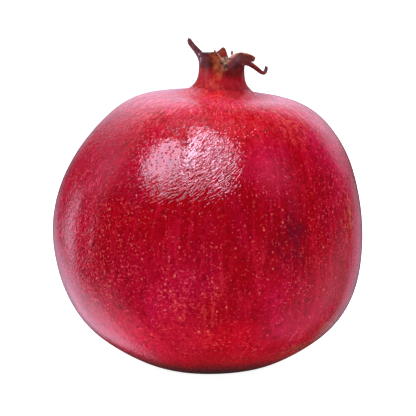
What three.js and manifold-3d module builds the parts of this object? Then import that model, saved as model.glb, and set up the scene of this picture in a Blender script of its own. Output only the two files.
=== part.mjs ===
// Pomegranate: a whole fruit standing on the small flat spot at its base, crown up.
// Millimetres, +Z up, the resting spot on z = 0. Azimuths are degrees from -Y towards +X.
import * as THREE from "three";
import { mergeVertices } from "three/addons/utils/BufferGeometryUtils.js";
import Module from "manifold-3d";

// ---- driving dimensions ----

// Half outline of the body [radius, height], from the rim of the flat spot to the top of the tube.
const FLAT_SPOT_RADIUS = 10.5;
const TUBE_HEIGHT = 96.8;
const TUBE_OUTER_RADIUS = 7.3;
const OUTLINE = [
  [FLAT_SPOT_RADIUS, 0], [14, 0.2], [23.9, 3], [32.2, 7.7], [41, 14], [47.1, 24],
  [49.8, 35.4], [50.4, 46.9], [48.4, 58.1], [44.3, 68.6], [38.5, 77.2], [31.7, 83.9],
  [24, 87.5], [17, 88.3], [11.6, 88.7], [8.2, 91.7], [7.4, 94.3], [TUBE_OUTER_RADIUS, TUBE_HEIGHT],
];

// Sideways drift of the fruit's axis at every LEAN_STEP of height, and how far the top tips over.
const LEAN = [0.6, 1.3, 0, 0.1, 4, 4.4];
const LEAN_STEP = 20;
const TILT = 3.3;
const TILT_START = 45;
const TILT_END = 95;

// Five soft ridges run up the body, one under each lobe of the crown, where it is wide enough.
const RIDGE_DEPTH = 0.5;
const RIDGE_FULL_RADIUS = 26;

// The dimple round the stalk.
const DIMPLE_RADIUS = 6.4;
const DIMPLE_DEPTH = 2.4;
const DIMPLE_RINGS = [0.5, 0.72, 0.88, 1];

// The calyx tube: its wall, the floor inside it and the notches between its lobes.
const LOBE_COUNT = 5;
const NOTCH_AZIMUTH = 6;
const TUBE_WALL = 1.9;
const CUP = [[5.1, 93.5], [4.9, 91.2], [4.2, 89.6], [2.4, 89]];
const CUP_FLOOR = 89;
const LOBE_TIP_WALL = 0.8;
const EDGE_THINNING = 0.3;
const EDGE_THINNING_END = 0.4;
const EDGE_ROUNDING = 0.02;

// Each lobe's line climbs from the tube's mid-wall to its tip in [outward, sideways, upward]
// places. span is its half width and curl the bend across it, as shares of the tube's own.
const LOBES = [
  { // front right: broad, its tip swept sideways
    line: [[0, 0, 0], [0, 0, 1.6], [0.1, 0.1, 3], [0.6, 1, 4.1], [1.3, 2.7, 4.6], [2, 4.6, 4.3],
      [2.5, 6, 3.9]],
    span: [1, 0.9, 0.74, 0.56, 0.4, 0.3, 0.2],
    curl: [1, 1, 0.8, 0.2, -0.4, -0.8, -0.8],
  },
  { // right: narrow, bent out and down with an upturned tip
    line: [[0, 0, 0], [0, 0, 1.2], [0.6, 0, 2], [2.6, 0, 1.9], [5, 0, 0.6], [7, 0, -0.9],
      [8.5, 0, -1.8], [9.4, 0, -0.8], [9.4, 0, 0.8]],
    span: [1, 0.85, 0.66, 0.48, 0.36, 0.3, 0.28, 0.22, 0.14],
    curl: [1, 1, 1, 1.5, 2.5, 3, 3, 2.5, 2],
  },
  { // back: an upright triangle
    line: [[0, 0, 0], [0, -0.1, 2], [-0.1, -0.9, 4.1], [-0.1, -1.3, 6.1]],
    span: [1, 0.82, 0.46, 0.1],
    curl: [1, 1, 0.8, 0.6],
  },
  { // left: rolled into a narrow horn
    line: [[0, 0, 0], [0, 0, 1.4], [0.5, 0, 2.8], [1.3, 0, 4.1], [2.7, 0, 5.6], [4.2, 0, 7.1],
      [4.6, 0, 8.2], [4.2, 0, 8.8]],
    span: [1, 0.9, 0.7, 0.54, 0.46, 0.44, 0.4, 0.3],
    curl: [1, 1, 1.3, 2.2, 3.4, 4.2, 4.4, 4],
  },
  { // front left: broad and short, its lip rolled out
    line: [[0, 0, 0], [0, 0, 2], [0.2, -0.1, 3.5], [0.9, -0.3, 5], [2.2, -0.4, 5.6],
      [3.2, -0.4, 5.2]],
    span: [1, 0.92, 0.84, 0.76, 0.62, 0.4],
    curl: [1, 1, 0.9, 0.5, 0.4, 0.4],
  },
];

// The dry stamens and style, fused to a low boss that stands clear of the cup.
const CLEARANCE = 0.3;
const BOSS = [[0, 0], [2.3, 0], [3.8, 0.5], [4.5, 2], [4.7, 4.3], [3.7, 4.4], [2.6, 2.6], [0, 2.2]];
const STAMEN_ROWS = [
  { count: 16, radius: 4.1, foot: 4, length: 6.8 },
  { count: 12, radius: 3.1, foot: 3, length: 7 },
  { count: 7, radius: 1.9, foot: 2, length: 7 },
];
const FILAMENT_RADIUS = 0.34;
const ANTHER_RADIUS = 0.62;
const STYLE_RADIUS = 0.5;
const STYLE_TOP = 10.5;
const STIGMA_RADIUS = 0.9;
const STAMEN_SEED = 11;
const STAMEN_SPREAD = 0.6;
const STAMEN_SWING = 0.5;
const STAMEN_TIP = [0.72, 1.02];
const STAMEN_SHORTEST = 0.82;
const ANTHER_STRETCH = 1.4;

// The cut end of the woody stalk.
const STALK = [[0, 0.4], [2.3, 0.4], [2.5, 0.7], [2.6, 1.4], [3, 1.8], [2.8, 2.05], [0, 2.05]];

// ---- mesh resolution ----
const COLUMNS_PER_LOBE = 12;
const COLUMNS = LOBE_COUNT * COLUMNS_PER_LOBE;
const BODY_ROWS_PER_POINT = 2;
const NECK_ROWS_PER_POINT = 3;
const NECK_POINTS = 4;
const LOBE_ROWS = 10;
const FRAMES_PER_ROW = 10;
const FILAMENT_SIDES = 4;
const FILAMENT_STEPS = 4;
const TURNED_SIDES = 20;

// ---- materials ----
const RIND_LOOK = { color: 0xa80d22, roughness: 0.35, metalness: 0 };
const STAMEN_LOOK = { color: 0x9a7a58, roughness: 0.9, metalness: 0 };
const STALK_LOOK = { color: 0x6a4c33, roughness: 0.85, metalness: 0 };

// ---- curves ----
const degrees = THREE.MathUtils.degToRad;
const smooth = THREE.MathUtils.smoothstep;
const LOBE_ANGLE = 360 / LOBE_COUNT;
const TUBE_RADIUS = TUBE_OUTER_RADIUS - TUBE_WALL / 2;
const TINY = 1e-6;
const HALF_ARC = TUBE_RADIUS * degrees(LOBE_ANGLE / 2);

// A uniform cubic B-spline of points, which starts at the first and ends at the last.
function spline(points, u) {
  const last = points.length - 1;
  const mirrored = (end, next) => end.map((value, axis) => 2 * value - next[axis]);
  const all = [mirrored(points[0], points[1]), ...points, mirrored(points[last], points[last - 1])];
  const first = Math.min(Math.max(Math.floor(u), 0), last - 1);
  const t = u - first;
  const weights = [
    (1 - t) ** 3,
    3 * t ** 3 - 6 * t ** 2 + 4,
    -3 * t ** 3 + 3 * t ** 2 + 3 * t + 1,
    t ** 3,
  ];
  const blend = (axis) => (
    weights.reduce((sum, weight, k) => sum + weight * all[first + k][axis], 0) / 6
  );
  return points[0].map((_, axis) => blend(axis));
}

// The same spline through single values, with t from 0 to 1.
function glide(values, t) {
  return spline(values.map((value) => [value]), t * (values.length - 1))[0];
}

// Moves a point of the upright fruit to where the leaning, tipping fruit has it.
function place(x, y, z) {
  const lean = glide(LEAN, Math.min(z / LEAN_STEP, LEAN.length - 1) / (LEAN.length - 1));
  const tip = degrees(TILT) * smooth(z, TILT_START, TILT_END);
  return [lean + x * Math.cos(tip), y, z - x * Math.sin(tip)];
}

// A point of the body at an azimuth, with the ridges where the body is widest.
function bodyPoint(radius, height, azimuth) {
  const fade = smooth(radius, FLAT_SPOT_RADIUS, RIDGE_FULL_RADIUS);
  const wave = Math.cos(degrees((azimuth - NOTCH_AZIMUTH) * LOBE_COUNT));
  const r = radius - RIDGE_DEPTH * fade * wave;
  return place(r * Math.sin(degrees(azimuth)), -r * Math.cos(degrees(azimuth)), height);
}

// ---- mesh building ----
class Skin {
  constructor() {
    this.positions = [];
    this.triangles = [];
  }

  add(point) {
    this.positions.push(...point);
    return this.positions.length / 3 - 1;
  }

  triangle(a, b, c) {
    this.triangles.push(a, b, c);
  }

  // Faces between two rows of vertices, seen from outside with the second row above the first.
  strip(lower, upper) {
    for (let i = 0; i + 1 < lower.length; i += 1) {
      this.triangle(lower[i], lower[i + 1], upper[i + 1]);
      this.triangle(lower[i], upper[i + 1], upper[i]);
    }
  }

  band(lower, upper) {
    this.strip([...lower, lower[0]], [...upper, upper[0]]);
  }

  fan(centre, ring) {
    ring.forEach((vertex, i) => this.triangle(centre, vertex, ring[(i + 1) % ring.length]));
  }

  geometry() {
    const geometry = new THREE.BufferGeometry();
    geometry.setAttribute("position", new THREE.Float32BufferAttribute(this.positions, 3));
    geometry.setIndex(this.triangles);
    geometry.computeVertexNormals();
    return geometry;
  }
}

function columnAzimuth(column) {
  return NOTCH_AZIMUTH + (column * 360) / COLUMNS;
}

function bodyRing(skin, radius, height) {
  const columns = Array.from({ length: COLUMNS }, (_, column) => columnAzimuth(column));
  return columns.map((azimuth) => skin.add(bodyPoint(radius, height, azimuth)));
}

// ---- rind: body, neck, calyx tube and lobes ----
function addBase(skin) {
  const centre = skin.add(place(0, 0, DIMPLE_DEPTH));
  const rings = DIMPLE_RINGS.map((share) => {
    const height = DIMPLE_DEPTH * (1 - smooth(share, DIMPLE_RINGS[0], 1));
    return bodyRing(skin, DIMPLE_RADIUS * share, height);
  });
  skin.fan(centre, [...rings[0]].reverse());
  rings.slice(1).forEach((ring, i) => skin.band(rings[i], ring));
  return rings.at(-1);
}

// Places along the outline where the body has a row of vertices, closer together up the neck.
function outlineRows() {
  const rows = [];
  const last = OUTLINE.length - 1;
  for (let point = 0; point < last; point += 1) {
    const steps = point < last - NECK_POINTS ? BODY_ROWS_PER_POINT : NECK_ROWS_PER_POINT;
    for (let step = 0; step < steps; step += 1) rows.push(point + step / steps);
  }
  return [...rows, last];
}

function addBody(skin, start) {
  let below = start;
  outlineRows().forEach((u) => {
    const [radius, height] = spline(OUTLINE, u);
    const ring = bodyRing(skin, radius, height);
    skin.band(below, ring);
    below = ring;
  });
  return below;
}

function addCup(skin) {
  const mouth = bodyRing(skin, TUBE_OUTER_RADIUS - TUBE_WALL, TUBE_HEIGHT);
  let above = mouth;
  CUP.forEach(([radius, height]) => {
    const ring = bodyRing(skin, radius, height);
    skin.band(above, ring);
    above = ring;
  });
  skin.fan(skin.add(place(0, 0, CUP_FLOOR)), above);
  return mouth;
}

// The places and directions along a lobe's line, carried up from the tube without spinning.
function lobeFrames(lobe) {
  const steps = LOBE_ROWS * FRAMES_PER_ROW;
  const out = new THREE.Vector3(1, 0, 0);
  return Array.from({ length: steps + 1 }, (_, step) => {
    const u = (step / steps) * (lobe.line.length - 1);
    const at = new THREE.Vector3(...spline(lobe.line, u));
    const along = new THREE.Vector3(...spline(lobe.line, u + 0.01));
    along.sub(new THREE.Vector3(...spline(lobe.line, u - 0.01))).normalize();
    out.addScaledVector(along, -out.dot(along)).normalize();
    return { at, out: out.clone(), across: along.clone().cross(out) };
  });
}

// A point of a lobe: s runs across it from -1 to 1, and depth from -1 inside to 1 outside.
function lobePoint(lobe, frame, centreAzimuth, t, s, depth) {
  const at = frame.at.clone();
  const bend = glide(lobe.curl, t) / TUBE_RADIUS;
  const reach = HALF_ARC * glide(lobe.span, t) * s;
  const angle = bend * reach;
  const sag = Math.abs(angle) < TINY ? 0 : (1 - Math.cos(angle)) / bend;
  const sideways = Math.abs(angle) < TINY ? reach : Math.sin(angle) / bend;
  const wall = THREE.MathUtils.lerp(TUBE_WALL, LOBE_TIP_WALL, smooth(t, 0, 1));
  const half = (depth * wall * (1 - EDGE_THINNING * s * s * smooth(t, 0, EDGE_THINNING_END))) / 2;
  at.addScaledVector(frame.across, sideways + Math.sin(angle) * half);
  at.addScaledVector(frame.out, -sag + Math.cos(angle) * half);
  const a = degrees(centreAzimuth);
  const radius = TUBE_RADIUS + at.x;
  const x = radius * Math.sin(a) + at.y * Math.cos(a);
  const y = -radius * Math.cos(a) + at.y * Math.sin(a);
  return place(x, y, TUBE_HEIGHT + at.z);
}

// One edge of a lobe, rounded by a middle line of vertices from the notch to the tip.
function addLobeEdge(skin, outer, middle, inner) {
  skin.triangle(outer[0], inner[0], middle[0]);
  skin.triangle(outer[0], middle[0], outer[1]);
  skin.triangle(inner[0], inner[1], middle[0]);
  for (let row = 0; row + 1 < middle.length; row += 1) {
    skin.strip([outer[row + 1], middle[row]], [outer[row + 2], middle[row + 1]]);
    skin.strip([middle[row], inner[row + 1]], [middle[row + 1], inner[row + 2]]);
  }
  skin.triangle(outer.at(-1), middle.at(-1), inner.at(-1));
}

function addLobe(skin, index, outerRing, innerRing) {
  const centre = NOTCH_AZIMUTH + LOBE_ANGLE * (index + 0.5);
  const first = index * COLUMNS_PER_LOBE;
  const columns = Array.from({ length: COLUMNS_PER_LOBE + 1 }, (_, column) => column);
  const share = (column) => (2 * column) / COLUMNS_PER_LOBE - 1;
  const outer = [columns.map((column) => outerRing[(first + column) % COLUMNS])];
  const inner = [columns.map((column) => innerRing[(first + column) % COLUMNS])];
  const left = [];
  const right = [];
  const frames = lobeFrames(LOBES[index]);
  for (let row = 1; row <= LOBE_ROWS; row += 1) {
    const frame = frames[row * FRAMES_PER_ROW];
    const t = row / LOBE_ROWS;
    const vertex = (s, depth) => skin.add(lobePoint(LOBES[index], frame, centre, t, s, depth));
    outer.push(columns.map((column) => vertex(share(column), 1)));
    inner.push(columns.map((column) => vertex(share(column), -1)));
    left.push(vertex(-1 - EDGE_ROUNDING, 0));
    right.push(vertex(1 + EDGE_ROUNDING, 0));
  }
  for (let row = 0; row < LOBE_ROWS; row += 1) {
    skin.strip(outer[row], outer[row + 1]);
    skin.strip(inner[row + 1], inner[row]);
  }
  skin.strip(outer.at(-1), inner.at(-1));
  addLobeEdge(skin, outer.map((row) => row.at(-1)), right, inner.map((row) => row.at(-1)));
  addLobeEdge(skin, inner.map((row) => row[0]), left, outer.map((row) => row[0]));
}

function rindGeometry() {
  const skin = new Skin();
  const base = addBase(skin);
  const outerRing = addBody(skin, base);
  const innerRing = addCup(skin);
  LOBES.forEach((_, index) => addLobe(skin, index, outerRing, innerRing));
  return skin.geometry();
}

// ---- solids turned, drawn along a line and joined ----
function closed(geometry) {
  geometry.deleteAttribute("normal");
  geometry.deleteAttribute("uv");
  return mergeVertices(geometry, 1e-4);
}

// Turns a [radius, height] outline, which starts and ends on the axis, round the vertical.
function turned(outline) {
  const points = outline.map(([radius, height]) => new THREE.Vector2(radius, height));
  return closed(new THREE.LatheGeometry(points, TURNED_SIDES).rotateX(Math.PI / 2));
}

function drawn(path, radius) {
  const corners = Array.from({ length: FILAMENT_SIDES }, (_, side) => {
    const angle = (2 * Math.PI * side) / FILAMENT_SIDES;
    return new THREE.Vector2(radius * Math.cos(angle), radius * Math.sin(angle));
  });
  const curve = new THREE.CatmullRomCurve3(path.map((point) => new THREE.Vector3(...point)));
  const options = { steps: FILAMENT_STEPS, extrudePath: curve };
  return closed(new THREE.ExtrudeGeometry(new THREE.Shape(corners), options));
}

function ball(radius, [x, y, z], stretch) {
  return closed(new THREE.IcosahedronGeometry(radius, 0).scale(1, 1, stretch).translate(x, y, z));
}

// A repeatable draw of numbers from 0 to 1.
function seededDraw(seed) {
  let state = seed;
  return () => {
    state = (state + 0x6d2b79f5) | 0;
    let mixed = Math.imul(state ^ (state >>> 15), 1 | state);
    mixed = (mixed + Math.imul(mixed ^ (mixed >>> 7), 61 | mixed)) ^ mixed;
    return ((mixed ^ (mixed >>> 14)) >>> 0) / 4294967296;
  };
}

const manifold = await Module();
manifold.setup();

function joined(geometries) {
  const solids = geometries.map((geometry) => {
    const vertProperties = new Float32Array(geometry.attributes.position.array);
    const triVerts = new Uint32Array(geometry.index.array);
    return new manifold.Manifold(new manifold.Mesh({ numProp: 3, vertProperties, triVerts }));
  });
  const mesh = solids.reduce((whole, solid) => whole.add(solid)).getMesh();
  const geometry = new THREE.BufferGeometry();
  geometry.setAttribute("position", new THREE.Float32BufferAttribute(mesh.vertProperties, 3));
  geometry.setIndex([...mesh.triVerts]);
  return geometry;
}

// ---- stamens: filaments with their anthers, and the style in the middle ----
function stamen(row, index, draw) {
  const azimuth = ((index + STAMEN_SPREAD * draw()) / row.count) * 2 * Math.PI;
  const swing = STAMEN_SWING * (draw() - 0.5);
  const tipRadius = row.radius * THREE.MathUtils.lerp(...STAMEN_TIP, draw());
  const height = row.length * THREE.MathUtils.lerp(STAMEN_SHORTEST, 1, draw());
  const at = (radius, turn, z) => (
    [radius * Math.sin(azimuth + turn), -radius * Math.cos(azimuth + turn), z]
  );
  const foot = at(row.radius, 0, row.foot - 1);
  const middle = at(row.radius, swing / 4, row.foot + height / 2);
  const tip = at(tipRadius, swing, row.foot + height);
  const path = [foot, middle, tip];
  return [drawn(path, FILAMENT_RADIUS), ball(ANTHER_RADIUS, tip, ANTHER_STRETCH)];
}

function stamensGeometry() {
  const draw = seededDraw(STAMEN_SEED);
  const style = drawn([[0, 0, 1], [0.3, 0.2, STYLE_TOP / 2], [0.1, 0, STYLE_TOP]], STYLE_RADIUS);
  const pieces = [turned(BOSS), style, ball(STIGMA_RADIUS, [0.1, 0, STYLE_TOP], 0.8)];
  STAMEN_ROWS.forEach((row) => {
    for (let index = 0; index < row.count; index += 1) pieces.push(...stamen(row, index, draw));
  });
  const geometry = joined(pieces);
  const position = geometry.attributes.position;
  for (let i = 0; i < position.count; i += 1) {
    const z = position.getZ(i) + CUP_FLOOR + CLEARANCE;
    position.setXYZ(i, ...place(position.getX(i), position.getY(i), z));
  }
  geometry.computeVertexNormals();
  return geometry;
}

// ---- the fruit ----
function piece(name, geometry, look) {
  const mesh = new THREE.Mesh(geometry, new THREE.MeshStandardMaterial(look));
  mesh.name = name;
  return mesh;
}

const stalk = piece("stalk_stub", turned(STALK), STALK_LOOK);
stalk.position.x = LEAN[0];

const pomegranate = new THREE.Group();
pomegranate.add(piece("rind", rindGeometry(), RIND_LOOK));
pomegranate.add(piece("stamens", stamensGeometry(), STAMEN_LOOK));
pomegranate.add(stalk);

export default pomegranate;
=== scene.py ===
"""A pomegranate on its flat spot: the rind, the dry stamens in its crown and the stub of its stalk.

Lengths of the fruit are in millimetres until build() turns them into metres.
Azimuths are in degrees from -Y towards +X, and heights are measured from the floor.
"""

import math

import bpy
import numpy as np
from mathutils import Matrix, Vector


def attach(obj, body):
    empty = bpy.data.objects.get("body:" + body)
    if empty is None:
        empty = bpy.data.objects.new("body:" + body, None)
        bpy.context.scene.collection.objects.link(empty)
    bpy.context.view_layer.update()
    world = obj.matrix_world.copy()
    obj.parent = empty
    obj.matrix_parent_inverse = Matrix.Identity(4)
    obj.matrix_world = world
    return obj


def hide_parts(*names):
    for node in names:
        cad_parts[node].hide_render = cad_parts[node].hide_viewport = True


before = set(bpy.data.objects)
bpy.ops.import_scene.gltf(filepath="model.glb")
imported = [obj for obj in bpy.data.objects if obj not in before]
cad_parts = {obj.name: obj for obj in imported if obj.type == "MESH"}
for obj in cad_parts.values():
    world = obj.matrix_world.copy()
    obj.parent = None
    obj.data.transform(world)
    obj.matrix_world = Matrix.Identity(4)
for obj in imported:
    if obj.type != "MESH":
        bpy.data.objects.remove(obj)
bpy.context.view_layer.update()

# ---- the fruit's shape, as in its solids ----

FLAT_SPOT_RADIUS = 10.5
TUBE_HEIGHT = 96.8
TUBE_OUTER_RADIUS = 7.3
OUTLINE = [
    [FLAT_SPOT_RADIUS, 0], [14, 0.2], [23.9, 3], [32.2, 7.7], [41, 14], [47.1, 24],
    [49.8, 35.4], [50.4, 46.9], [48.4, 58.1], [44.3, 68.6], [38.5, 77.2], [31.7, 83.9],
    [24, 87.5], [17, 88.3], [11.6, 88.7], [8.2, 91.7], [7.4, 94.3], [TUBE_OUTER_RADIUS, TUBE_HEIGHT],
]
LEAN = [0.6, 1.3, 0, 0.1, 4, 4.4]
LEAN_STEP = 20
TILT = 3.3
TILT_START = 45
TILT_END = 95
RIDGE_DEPTH = 0.5
RIDGE_FULL_RADIUS = 26
DIMPLE_RADIUS = 6.4
DIMPLE_DEPTH = 2.4
DIMPLE_RIM = 0.5
LOBE_COUNT = 5
LOBE_ANGLE = 360 / LOBE_COUNT
NOTCH_AZIMUTH = 6
TUBE_WALL = 1.9
CUP = [[5.1, 93.5], [4.9, 91.2], [4.2, 89.6], [2.4, 89]]
CUP_FLOOR = 89
LOBE_TIP_WALL = 0.8
EDGE_THINNING = 0.3
EDGE_THINNING_END = 0.4
EDGE_ROUNDING = 0.02
TUBE_RADIUS = TUBE_OUTER_RADIUS - TUBE_WALL / 2
HALF_ARC = TUBE_RADIUS * math.radians(LOBE_ANGLE / 2)

# Each lobe climbs from the tube's mid-wall to its tip in [outward, sideways, upward] places.
# span is its half width and curl the bend across it, as shares of the tube's own, from tube to tip.
LOBES = [
    dict(  # front right: broad, its tip swept sideways
        line=[[0, 0, 0], [0, 0, 1.6], [0.1, 0.1, 3], [0.6, 1, 4.1], [1.3, 2.7, 4.6], [2, 4.6, 4.3],
              [2.5, 6, 3.9]],
        span=[1, 0.9, 0.74, 0.56, 0.4, 0.3, 0.2],
        curl=[1, 1, 0.8, 0.2, -0.4, -0.8, -0.8],
    ),
    dict(  # right: narrow, bent out and down with an upturned tip
        line=[[0, 0, 0], [0, 0, 1.2], [0.6, 0, 2], [2.6, 0, 1.9], [5, 0, 0.6], [7, 0, -0.9],
              [8.5, 0, -1.8], [9.4, 0, -0.8], [9.4, 0, 0.8]],
        span=[1, 0.85, 0.66, 0.48, 0.36, 0.3, 0.28, 0.22, 0.14],
        curl=[1, 1, 1, 1.5, 2.5, 3, 3, 2.5, 2],
    ),
    dict(  # back: an upright triangle
        line=[[0, 0, 0], [0, -0.1, 2], [-0.1, -0.9, 4.1], [-0.1, -1.3, 6.1]],
        span=[1, 0.82, 0.46, 0.1],
        curl=[1, 1, 0.8, 0.6],
    ),
    dict(  # left: rolled into a narrow horn
        line=[[0, 0, 0], [0, 0, 1.4], [0.5, 0, 2.8], [1.3, 0, 4.1], [2.7, 0, 5.6], [4.2, 0, 7.1],
              [4.6, 0, 8.2], [4.2, 0, 8.8]],
        span=[1, 0.9, 0.7, 0.54, 0.46, 0.44, 0.4, 0.3],
        curl=[1, 1, 1.3, 2.2, 3.4, 4.2, 4.4, 4],
    ),
    dict(  # front left: broad and short, its lip rolled out
        line=[[0, 0, 0], [0, 0, 2], [0.2, -0.1, 3.5], [0.9, -0.3, 5], [2.2, -0.4, 5.6],
              [3.2, -0.4, 5.2]],
        span=[1, 0.92, 0.84, 0.76, 0.62, 0.4],
        curl=[1, 1, 0.9, 0.5, 0.4, 0.4],
    ),
]

# ---- mesh resolution ----
COLUMNS_PER_LOBE = 60
COLUMNS = LOBE_COUNT * COLUMNS_PER_LOBE
BODY_ROWS_PER_POINT = 11
NECK_ROWS_PER_POINT = 12
NECK_POINTS = 4
DIMPLE_ROWS = 12
CUP_ROWS_PER_POINT = 3
LOBE_ROWS = 36
EDGE_COLUMNS = 3
FRAMES_PER_ROW = 6

# ---- relief of the skin ----
# Broad swells: [waves round the fruit, waves per 100 mm of height, share of the depth, phase].
SWELLS = [
    [2, 0.9, 0.3, 0.4],
    [4, -1.3, 0.25, 2.1],
    [7, 0.7, 0.2, 4.4],
    [9, 1.9, 0.13, 5.2],
    [13, -1.1, 0.12, 1.3],
]
SWELL_DEPTH = 0.32
# What one wave per 100 mm turns a swell's phase by in a millimetre, in radians.
SWELL_TURN = 0.02 * math.pi
# The relief grows from the floor up to SWELL_LOW, and fades out over SWELL_FADE below SWELL_HIGH.
SWELL_LOW = 6
SWELL_HIGH = 86
SWELL_FADE = 10
# Soft hollows: [azimuth, height, half width in degrees, half height, depth].
HOLLOWS = [
    [-6, 68, 3.2, 11, 0.22],
    [-50, 52, 6, 17, 0.5],
    [30, 62, 10, 14, 0.25],
    [118, 50, 8, 20, 0.35],
    [205, 60, 7, 16, 0.3],
]


# ---- curves ----
def smooth(value, low, high):
    """0 up to low and 1 from high on, with an eased rise between them."""
    t = np.clip((np.asarray(value, float) - low) / (high - low), 0, 1)
    return t * t * (3 - 2 * t)


def spline(points, u):
    """A uniform cubic B-spline of points, which starts at the first and ends at the last."""
    points = np.asarray(points, float)
    every = np.vstack([2 * points[0] - points[1], points, 2 * points[-1] - points[-2]])
    u = np.asarray(u, float)
    first = np.clip(np.floor(u).astype(int), 0, len(points) - 2)
    t = (u - first)[..., None]
    weights = [(1 - t) ** 3, 3 * t**3 - 6 * t**2 + 4, -3 * t**3 + 3 * t**2 + 3 * t + 1, t**3]
    return sum(weight * every[first + k] for k, weight in enumerate(weights)) / 6


def glide(values, t):
    """The same spline through single values, with t from 0 to 1."""
    return spline([[value] for value in values], np.asarray(t, float) * (len(values) - 1))[..., 0]


def place(x, y, z):
    """Moves points of the upright fruit to where the leaning, tipping fruit has them."""
    x, y, z = np.broadcast_arrays(*(np.asarray(value, float) for value in (x, y, z)))
    last = len(LEAN) - 1
    lean = glide(LEAN, np.minimum(z / LEAN_STEP, last) / last)
    tip = np.radians(TILT) * smooth(z, TILT_START, TILT_END)
    return np.stack([lean + x * np.cos(tip), y, z - x * np.sin(tip)], -1)


def body_point(radius, height, azimuth):
    """A point of the body, with the ridges where the body is widest."""
    angle = np.radians(azimuth)
    wave = np.cos((angle - math.radians(NOTCH_AZIMUTH)) * LOBE_COUNT)
    r = radius - RIDGE_DEPTH * smooth(radius, FLAT_SPOT_RADIUS, RIDGE_FULL_RADIUS) * wave
    return place(r * np.sin(angle), -r * np.cos(angle), height)


def relief(azimuth, height):
    """How far the skin sinks below the plain body."""
    angle = np.radians(azimuth)
    total = sum(share for _, _, share, _ in SWELLS)
    depth = sum(
        share * (1 + np.cos(waves * angle + SWELL_TURN * rise * height + phase))
        for waves, rise, share, phase in SWELLS
    )
    depth = depth * SWELL_DEPTH / (2 * total)
    for at, level, wide, tall, deep in HOLLOWS:
        aside = (azimuth - at + 180) % 360 - 180
        depth = depth + deep * np.exp(-((aside / wide) ** 2) - ((height - level) / tall) ** 2)
    return depth * smooth(height, 0, SWELL_LOW) * (1 - smooth(height, SWELL_HIGH - SWELL_FADE, SWELL_HIGH))


# ---- mesh building ----
class Shell:
    """Vertices, each with its place on the skin and its tone, and the faces between rows of them."""

    def __init__(self):
        self.points = []
        self.skin = []
        self.tone = []
        self.faces = []
        self.count = 0

    def add(self, points, skin=0, tone=0):
        points = np.atleast_2d(points)
        self.points.append(points)
        self.skin.append(np.broadcast_to(skin, points.shape))
        self.tone.append(np.broadcast_to(tone, points.shape))
        self.count += len(points)
        return np.arange(self.count - len(points), self.count)

    def strip(self, lower, upper):
        self.faces += np.stack([lower[:-1], lower[1:], upper[1:], upper[:-1]], 1).tolist()

    def band(self, lower, upper):
        self.strip(np.append(lower, lower[0]), np.append(upper, upper[0]))

    def fan(self, ring, centre, skin=0, tone=0):
        """Faces from a new vertex at centre to each pair of a ring."""
        middle = int(self.add(centre, skin, tone)[0])
        self.faces += [[middle, int(a), int(b)] for a, b in zip(ring, np.roll(ring, -1))]

    def loft(self, rings, start, end=None):
        """Faces through rings of vertices, from a new vertex at start and to one at end if it is given.

        start and end each hold what the vertex is added with.
        """
        below = None
        for row in rings:
            if below is None:
                self.fan(row[::-1], *start)
            else:
                self.band(below, row)
            below = row
        if end is not None:
            self.fan(below, *end)
        return below

    def build(self, name):
        """A smooth object of this shell, in metres."""
        mesh = bpy.data.meshes.new(name)
        mesh.from_pydata((np.vstack(self.points) / 1000).tolist(), [], self.faces)
        for label, rows in (("skin", self.skin), ("tone", self.tone)):
            layer = mesh.attributes.new(label, "FLOAT_VECTOR", "POINT")
            layer.data.foreach_set("vector", np.vstack(rows).astype(np.float32).ravel())
        mesh.shade_smooth()
        thing = bpy.data.objects.new(name, mesh)
        bpy.context.scene.collection.objects.link(thing)
        return thing


# The tone of the rind is how far up the crown it is, how near a lobe's edge, and 1 where it faces
# inwards. The first is 0 up to the neck's foot, 1 at the tube's top and 2 at a lobe's tip.
NECK_FOOT = 87.5
BODY_TONE = (0, 0, 0)
MOUTH_TONE = (1, 0, 1)
CUP_TONE = (0.6, 0, 1)
CUP_FLOOR_TONE = (0.3, 0, 1)
SKIN_RADIUS = 50
EVERY_AZIMUTH = NOTCH_AZIMUTH + np.arange(COLUMNS) * 360 / COLUMNS


def skin_place(azimuth, climb):
    """A place on the skin: round a circle of SKIN_RADIUS, and climb millimetres up along it."""
    angle = np.radians(azimuth)
    climb = np.broadcast_to(climb, np.shape(angle))
    return np.stack([SKIN_RADIUS * np.sin(angle), -SKIN_RADIUS * np.cos(angle), climb], -1)


def ring(shell, radius, height, climb, tone=BODY_TONE):
    """A row of vertices round the fruit."""
    points = body_point(radius, height, EVERY_AZIMUTH)
    return shell.add(points, skin_place(EVERY_AZIMUTH, climb), tone)


def dimple_ring(shell, share):
    height = DIMPLE_DEPTH * (1 - smooth(share, DIMPLE_RIM, 1))
    return ring(shell, DIMPLE_RADIUS * share, float(height), DIMPLE_RADIUS * (share - 1))


def add_base(shell):
    """The stalk's dimple, from its middle out to the flat spot."""
    rings = (dimple_ring(shell, share) for share in np.linspace(0, 1, DIMPLE_ROWS + 1)[1:])
    return shell.loft(rings, [place(0, 0, DIMPLE_DEPTH)])


def outline_rows():
    """Places along the outline, closer together up the neck, with the last at its top."""
    last = len(OUTLINE) - 1
    rows = []
    for point in range(last):
        steps = BODY_ROWS_PER_POINT if point < last - NECK_POINTS else NECK_ROWS_PER_POINT
        rows += [point + step / steps for step in range(steps)]
    return np.array(rows + [last])


def unit(vectors):
    """The same directions, with a length of 1."""
    return vectors / np.linalg.norm(vectors, axis=-1, keepdims=True)


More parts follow.
